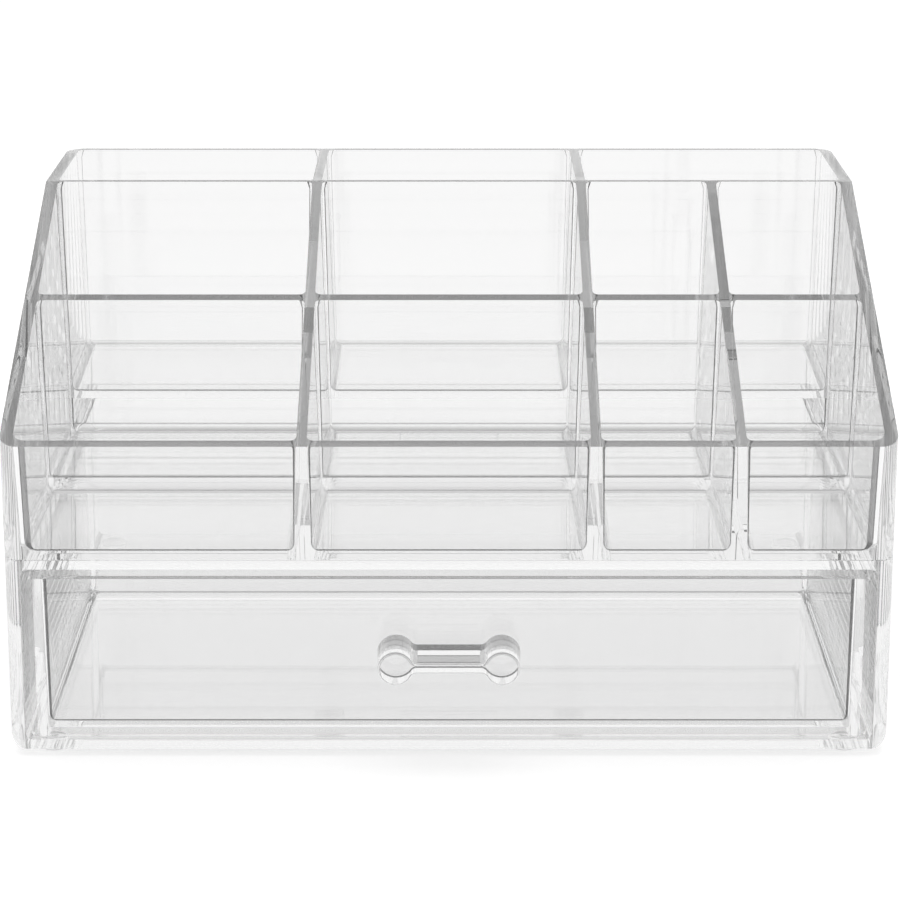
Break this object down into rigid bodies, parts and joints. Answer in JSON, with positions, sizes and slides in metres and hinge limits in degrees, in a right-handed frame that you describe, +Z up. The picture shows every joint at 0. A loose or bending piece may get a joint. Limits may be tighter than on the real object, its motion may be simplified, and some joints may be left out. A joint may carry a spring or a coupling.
{
  "type": "acrylic makeup organizer with drawer",
  "caption": "Clear plastic vanity organiser: a stepped tray of open pockets over a housing with one full-width drawer and a bar handle.",
  "frame": {"origin": "on the surface that the feet stand on, under the middle of the whole outline with the handle in it", "axes": "+Z up, +X to the right of someone facing the drawer, and the drawer opens towards -Y"},
  "size_m": [0.318, 0.244, 0.1823],
  "materials": {
    "tray_plastic": "clear moulded plastic, polished",
    "housing_plastic": "clear moulded plastic, polished",
    "drawer_plastic": "clear moulded plastic, polished",
    "handle_plastic": "clear moulded plastic, polished",
    "foot_plastic": "clear soft plastic, slightly hazy"
  },
  "bodies": {
    "casing": {"organiser_tray": "tray_plastic", "drawer_housing": "housing_plastic", "foot_front_left": "foot_plastic", "foot_front_right": "foot_plastic", "foot_rear_left": "foot_plastic", "foot_rear_right": "foot_plastic"},
    "drawer": {"drawer_box": "drawer_plastic", "drawer_handle": "handle_plastic"}
  },
  "joints": [
    {"name": "drawer_slide", "type": "slide", "parent": "casing", "child": "drawer", "axis": [0, -1, 0], "range_m": [0, 0.12]}
  ]
}
